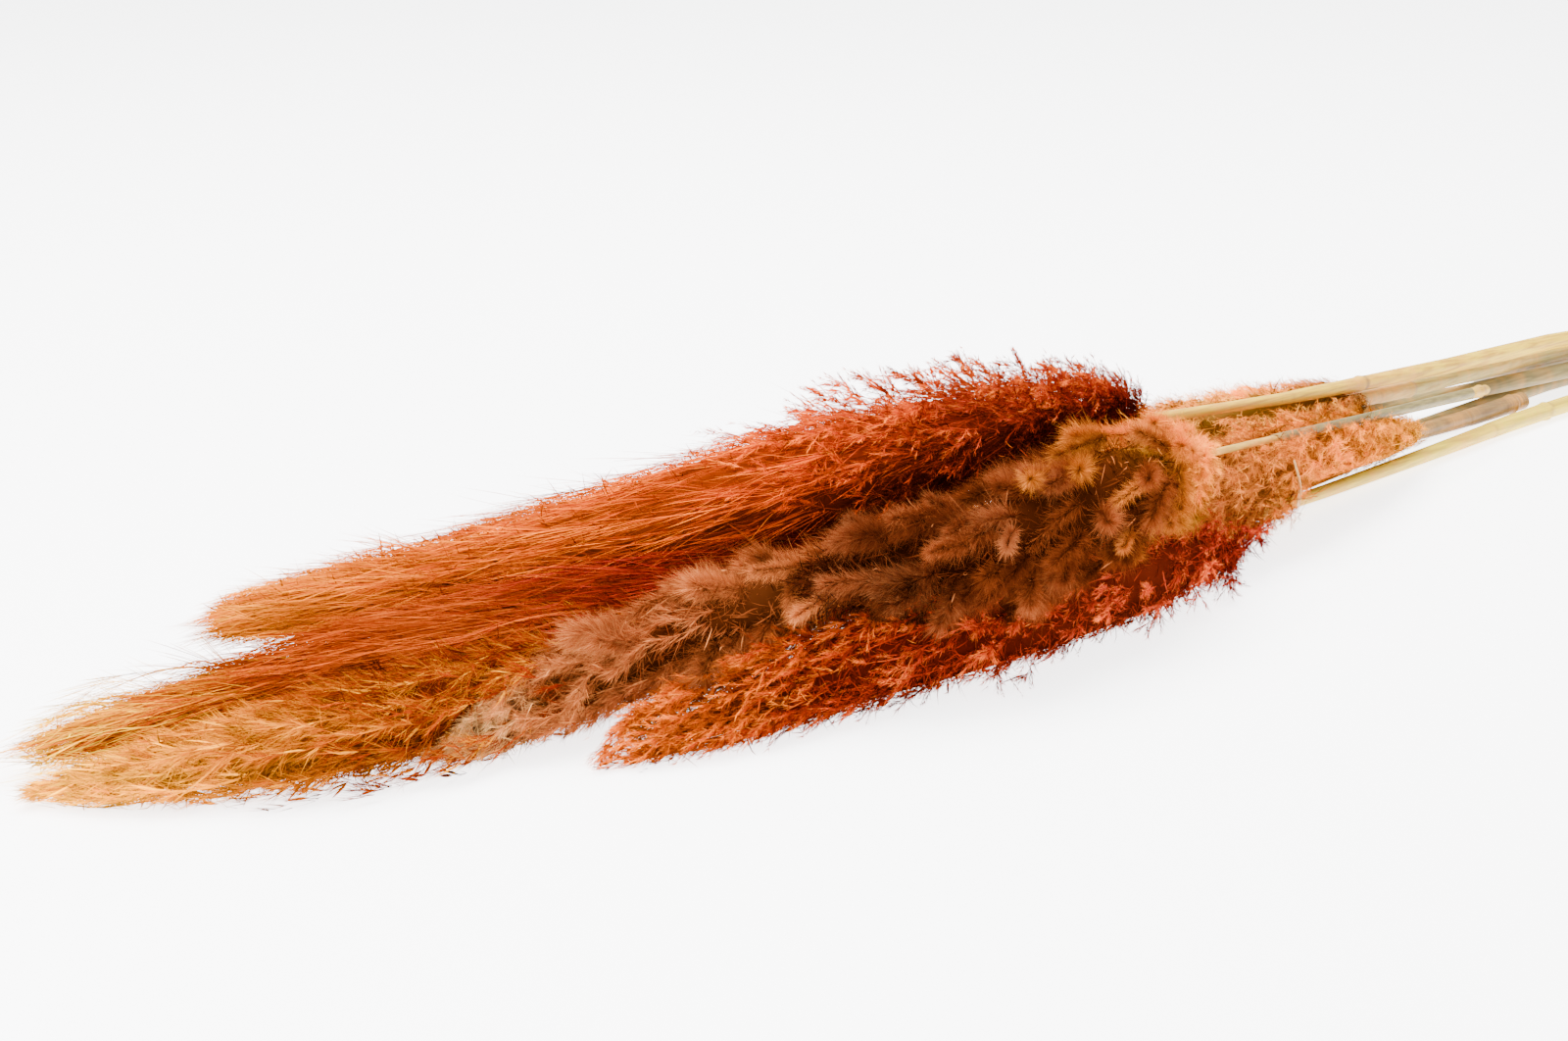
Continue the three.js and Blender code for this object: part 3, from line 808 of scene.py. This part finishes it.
STEM_RINGS = 240
STEM_SIDES = 24
SLIM_RUN = 260  # how far a stalk that is slim at its plume takes to reach its full width
NODE_RIM = 0.22  # how far a node stands out
NODE_DIP = 0.16  # the groove beside it
NODE_WIDTH = 0.9
WRAP_LENGTH = (25, 60)  # the leaf base wrapped round the stalk on the plume's side of a node
WRAP_WALL = 0.14
STAIN_RUN = 60  # how far dye has run down from the plume
BAND_PLACE = 150  # a second stain, this far from the plume
BAND_WIDTH = 25
# The cut end's rings: share of the radius, depth, and how strongly pith and scar colour them; the scar
# colour deepens with depth as painted shade in the hollow.
CUT_END = [(0.97, -0.15, 0.5, 0.1), (0.74, -0.1, 1.0, 0.15), (0.66, 1.2, 0.6, 0.6), (0.55, 4.0, 0.3, 1.4)]

SHEATH_RINGS = 150
SHEATH_SIDES = 28
SHEATH_START = 0.72  # its width at the mouth, as a share of the CAD's
SHEATH_WALL = 0.55
MOUTH_RUN = 9  # how far the torn mouth reaches along it


def straw_material(name, pale, deep, stain):
    """Dry straw: long fibre streaks, dark node scars with painted shade in a cut end's hollow, dye stains
    and a brown speckle.
    """
    m, nodes, links, bsdf = node_material(name)
    place = nodes.new("ShaderNodeNewGeometry")
    stretch = nodes.new("ShaderNodeMapping")
    stretch.inputs["Scale"].default_value = FIBRES
    links.new(place.outputs["Position"], stretch.inputs["Vector"])
    streak = nodes.new("ShaderNodeTexNoise")
    streak.inputs["Scale"].default_value = 1.0
    streak.inputs["Detail"].default_value = 4.0
    links.new(stretch.outputs["Vector"], streak.inputs["Vector"])
    ramp = nodes.new("ShaderNodeValToRGB")
    ramp.color_ramp.elements[0].position = 0.36
    ramp.color_ramp.elements[0].color = (*deep, 1)
    ramp.color_ramp.elements[1].position = 0.6
    ramp.color_ramp.elements[1].color = (*pale, 1)
    links.new(streak.outputs["Fac"], ramp.inputs[0])
    cloud = nodes.new("ShaderNodeTexNoise")
    cloud.inputs["Scale"].default_value = 45.0
    cloud.inputs["Detail"].default_value = 3.0
    links.new(place.outputs["Position"], cloud.inputs["Vector"])
    previous = ramp.outputs["Color"]
    layers = [("stain", stain, 0.3, 0.7), ("scar_and_shade", SCAR_AND_SHADE, 0.1, 0.5), ("pith", PITH, 0.0, 0.2)]
    for label, colour, low, high in layers:
        attribute = nodes.new("ShaderNodeAttribute")
        attribute.attribute_name = label
        patch = nodes.new("ShaderNodeMapRange")
        patch.inputs["From Min"].default_value = low
        patch.inputs["From Max"].default_value = high
        links.new(cloud.outputs["Fac"], patch.inputs["Value"])
        times = nodes.new("ShaderNodeMath")
        times.operation = "MULTIPLY"
        times.use_clamp = True
        links.new(attribute.outputs["Fac"], times.inputs[0])
        links.new(patch.outputs["Result"], times.inputs[1])
        mix = nodes.new("ShaderNodeMix")
        mix.data_type = "RGBA"
        links.new(times.outputs["Value"], mix.inputs["Factor"])
        links.new(previous, mix.inputs["A"])
        mix.inputs["B"].default_value = (*colour, 1)
        previous = mix.outputs["Result"]
    speck = nodes.new("ShaderNodeTexNoise")
    speck.inputs["Scale"].default_value = 700.0
    links.new(place.outputs["Position"], speck.inputs["Vector"])
    dots = nodes.new("ShaderNodeMapRange")
    dots.inputs["From Min"].default_value = 0.7
    dots.inputs["From Max"].default_value = 0.78
    dots.inputs["To Max"].default_value = 0.6
    links.new(speck.outputs["Fac"], dots.inputs["Value"])
    mix = nodes.new("ShaderNodeMix")
    mix.data_type = "RGBA"
    links.new(dots.outputs["Result"], mix.inputs["Factor"])
    links.new(previous, mix.inputs["A"])
    mix.inputs["B"].default_value = (*SPECKLE, 1)
    links.new(mix.outputs["Result"], bsdf.inputs["Base Color"])
    bump = nodes.new("ShaderNodeBump")
    bump.inputs["Strength"].default_value = 0.35
    bump.inputs["Distance"].default_value = 0.0003
    links.new(streak.outputs["Fac"], bump.inputs["Height"])
    links.new(bump.outputs["Normal"], bsdf.inputs["Normal"])
    bsdf.inputs["Roughness"].default_value = 0.5
    bsdf.inputs["Specular IOR Level"].default_value = 0.35
    return m


def make_stem(name, node_places, seed, pale, deep, stain=(0.72, 0.3, 0.04), slim=1.0):
    """A stalk: grooved, with nodes, wrapped leaf bases, dye stains and a hollow cut end."""
    rng = np.random.default_rng(seed)
    node = name + "_stem"
    count = STEM_RINGS
    sides = STEM_SIDES
    line, radius = centre_line(node, count)
    x = line[:, 0]
    a = np.linspace(0, 2 * np.pi, sides, endpoint=False)
    radius = radius * (slim + (1 - slim) * smoothstep((x - x[0]) / SLIM_RUN))
    grooves = 1 + 0.012 * np.sin(9 * a + rng.random() * 6) + 0.008 * np.sin(5 * a)
    r = radius[:, None] * grooves[None]
    scar_and_shade = np.zeros((count, sides))
    for place in node_places:
        d = x[:, None] - (place + SHIFT[0]) + 0.4 * np.sin(a + place)[None]
        rim = NODE_RIM * np.exp(-(d / 1.1) ** 2)
        dip = NODE_DIP * np.exp(-((d - 2.2) / NODE_WIDTH) ** 2)
        r = r + rim - dip
        scar_and_shade += 0.9 * np.exp(-((d - 1.6) / NODE_WIDTH) ** 2)
        wrap = rng.uniform(*WRAP_LENGTH)
        edge = -wrap + 2.5 * np.sin(a + place)[None]
        held = smoothstep((d - edge) / 0.8) * smoothstep(-d / 0.8)
        r = r + WRAP_WALL * held
        scar_and_shade += 0.35 * np.exp(-((d - edge) / 0.8) ** 2)
    surface = round_surface(line, r, sides)
    near_plume = np.exp(-(x - x[0]) / STAIN_RUN)
    band = np.exp(-((x[:, None] - x[0] - BAND_PLACE) / BAND_WIDTH) ** 2)
    stain_mark = near_plume[:, None] * 0.8 + 0.4 * band
    stain_mark = stain_mark + 0.5 * rng.random((count, 1)) ** 2 * np.ones((1, sides))
    rings = [surface]
    marks = {"scar_and_shade": [scar_and_shade], "stain": [stain_mark], "pith": [np.zeros((count, sides))]}
    along = unit(line[-1] - line[-3])
    centre = surface[-1].mean(0)
    for share, depth, pith, dark in CUT_END:
        ring = centre + (surface[-1] - centre) * share - along * depth
        rings.append(ring[None])
        marks["scar_and_shade"].append(np.full((1, sides), dark))
        marks["stain"].append(np.zeros((1, sides)))
        marks["pith"].append(np.full((1, sides), pith))
    points = np.concatenate(rings)
    verts = np.concatenate([points.reshape(-1, 3), surface[0].mean(0)[None],
                            points[-1].mean(0)[None] - along * 0.5])
    look = straw_material(name + "_straw_look", pale, deep, stain)
    piece = mesh_object(name + "_stalk", verts * MM, closed_faces(len(points), sides), None, look)
    for label, values in marks.items():
        # The cut end's middle point takes the most scar colour: painted shade at the bottom of the hollow.
        flat = np.concatenate([np.concatenate(values).ravel(), [0.0, 1.2 if label == "scar_and_shade" else 0.0]])
        mark(piece, label, flat)
    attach(piece, "root")
    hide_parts(node)


def make_sheath():
    """The leaf sheath round the golden stalk: a thin grooved wall with a slanted torn mouth."""
    count = SHEATH_RINGS
    sides = SHEATH_SIDES
    line, radius = centre_line("golden_sheath", count)
    radius = radius * np.linspace(SHEATH_START, 1.0, count)
    a = np.linspace(0, 2 * np.pi, sides, endpoint=False)
    ribs = 1 + 0.02 * np.sin(14 * a)
    seam = 0.22 * np.exp(-((a - 1.9) / 0.18) ** 2)
    outer = radius[:, None] * ribs[None] + seam[None]
    torn = 1.6 * np.sin(a + 0.6) + 0.6 * np.sin(5 * a)
    front = np.clip(1 - (line[:, 0] - line[0, 0]) / MOUTH_RUN, 0, 1)[:, None]
    shell = round_surface(line, outer, sides)
    shell[..., 0] -= front * torn[None]
    inner = round_surface(line, outer - SHEATH_WALL, sides)
    inner[..., 0] -= front * torn[None]
    points = np.concatenate([shell, inner[::-1]])
    rings = len(points)
    i = np.arange(sides)
    i2 = (i + 1) % sides
    j = (rings - 1) * sides
    lip_faces = [np.stack([j + i, j + i2, i2], 1), np.stack([j + i, i2, i], 1)]
    faces = np.vstack([grid_faces(rings, sides), *lip_faces])
    look = straw_material("sheath_look", (0.2, 0.15, 0.045), (0.12, 0.088, 0.025), (0.6, 0.3, 0.05))
    piece = mesh_object("golden_leaf_sheath", points.reshape(-1, 3) * MM, faces, None, look)
    lip = np.concatenate([front, front[::-1]]) * np.ones((1, sides))
    mark(piece, "stain", lip * 0.8)
    mark(piece, "scar_and_shade", np.where(lip > 0.9, 0.7, 0.0))
    mark(piece, "pith", np.zeros_like(lip))
    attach(piece, "root")
    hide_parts("golden_sheath")


def make_strip():
    """A loose dry strip of leaf caught on the bundle, cupped and twisted along its length."""
    path = [(-24, -34, 38), (-21, -35, 29), (-12, -28, 18), (-2, -19, 11)]
    count = 60
    line = catmull(path, count) + SHIFT
    x = np.linspace(0, 1, count)
    along = unit(np.gradient(line, axis=0))
    wide = unit(np.cross(along, [0.75, 0.2, 0.6]))
    turn = (0.5 * np.sin(5 * x))[:, None]
    up = np.cross(along, wide)
    wide, up = wide * np.cos(turn) + up * np.sin(turn), up * np.cos(turn) - wide * np.sin(turn)
    half = (0.75 * np.sin(np.clip(x, 0.03, 0.97) * np.pi) ** 0.35)[:, None]
    across = np.array([-1, -0.5, 0, 0.5, 1])
    top = [line + wide * half * c + up * (0.22 + 0.3 * c * c) for c in across]
    bottom = [line + wide * half * c * 0.98 + up * (-0.1 + 0.3 * c * c) for c in across[::-1]]
    points = np.stack(top + bottom, axis=1)
    sides = points.shape[1]
    i = np.arange(1, sides - 1)
    caps = np.vstack([np.stack([np.zeros_like(i), i + 1, i], 1),
                      np.stack([np.zeros_like(i), i, i + 1], 1) + (count - 1) * sides])
    look = straw_material("leaf_look", (0.62, 0.36, 0.12), (0.42, 0.2, 0.06), (0.7, 0.3, 0.05))
    faces = np.vstack([grid_faces(count, sides), caps])
    piece = mesh_object("loose_leaf", points.reshape(-1, 3) * MM, faces, None, look)
    flat = np.repeat(x, sides)
    mark(piece, "stain", flat * 0.4)
    mark(piece, "scar_and_shade", np.where(flat > 0.95, 0.6, 0.0))
    mark(piece, "pith", np.zeros_like(flat))
    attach(piece, "root")
    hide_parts("loose_leaf_strip")


YELLOW = ((0.7, 0.46, 0.012), (0.42, 0.22, 0.01))
PALE = ((0.36, 0.29, 0.08), (0.22, 0.17, 0.04))
# Painted shade: this grey-green is made darker for the stalks that lie in the shade of others.
SHADED_GREEN = ((0.22, 0.17, 0.06), (0.13, 0.1, 0.035))
TAN = ((0.17, 0.1, 0.03), (0.1, 0.052, 0.016))

make_stem("red_front", [212, 400], 21, (0.66, 0.48, 0.016), (0.42, 0.29, 0.012), slim=0.8)
make_stem("golden", [160], 22, (0.56, 0.34, 0.04), (0.34, 0.18, 0.02))
make_stem("rust_long", [90, 290, 440], 23, *YELLOW, slim=0.62)
make_stem("peach_front", [197], 24, *TAN)
make_stem("peach_back", [133, 330], 25, *PALE)
make_stem("tan_foxtail", [60, 350], 26, *SHADED_GREEN)
make_stem("orange_feather", [120, 300], 27, *SHADED_GREEN)
make_stem("amber_long", [128, 260], 28, *SHADED_GREEN)
make_sheath()
make_strip()


# ---------- stage, light and camera ----------
def make_stage():
    """The pale floor, which gives off a little light so that it looks nearly white."""
    m, _, _, bsdf = node_material("floor_look")
    bsdf.inputs["Base Color"].default_value = (0.9, 0.9, 0.9, 1)
    bsdf.inputs["Roughness"].default_value = 0.6
    bsdf.inputs["Emission Color"].default_value = (1, 1, 1, 1)
    bsdf.inputs["Emission Strength"].default_value = 3.8
    size = 14.0
    verts = np.array([(-size, -size, 0), (size, -size, 0), (size, size, 0), (-size, size, 0)])
    floor = mesh_object("floor", verts, np.array([(0, 1, 2), (0, 2, 3)]), None, m, smooth=False)


def area_light(name, place, target, size, power):
    """A rectangular light at a place, turned towards a target."""
    data = bpy.data.lights.new(name, "AREA")
    data.shape = "RECTANGLE"
    data.size, data.size_y = size
    data.energy = power
    ob = bpy.data.objects.new(name, data)
    ob.location = place
    ob.rotation_euler = (Vector(target) - Vector(place)).to_track_quat("-Z", "Y").to_euler()
    bpy.context.scene.collection.objects.link(ob)


def make_world(strength):
    """Even, slightly cool light from all sides."""
    world = bpy.data.worlds.new("studio")
    world.use_nodes = True
    world.node_tree.nodes["Background"].inputs["Color"].default_value = (0.96, 0.98, 1, 1)
    world.node_tree.nodes["Background"].inputs["Strength"].default_value = strength
    bpy.context.scene.world = world


def make_camera():
    """Looks along the bundle from its low side, 18 degrees down."""
    tilt, heading = math.radians(18), math.radians(50)
    level = Vector((math.cos(heading), math.sin(heading), 0))
    look = level * math.cos(tilt) + Vector((0, 0, -math.sin(tilt)))
    data = bpy.data.cameras.new("camera")
    data.lens = 58.5
    data.clip_end = 50
    ob = bpy.data.objects.new("camera", data)
    ob.location = (-0.768, -0.627, 0.310)
    ob.rotation_euler = look.to_track_quat("-Z", "Y").to_euler()
    bpy.context.scene.collection.objects.link(ob)
    bpy.context.scene.camera = ob


make_stage()
make_world(1.45)
area_light("overhead", (-0.2, 0.4, 1.6), (-0.1, 0, 0), (1.6, 1.2), 130)
area_light("front_fill", (-1.6, -1.6, 1.2), (0, 0, 0), (1.5, 1.5), 20)
area_light("tip_fill", (-0.9, -0.05, 0.5), (-0.47, 0.06, 0), (0.4, 0.4), 7.5)
make_camera()
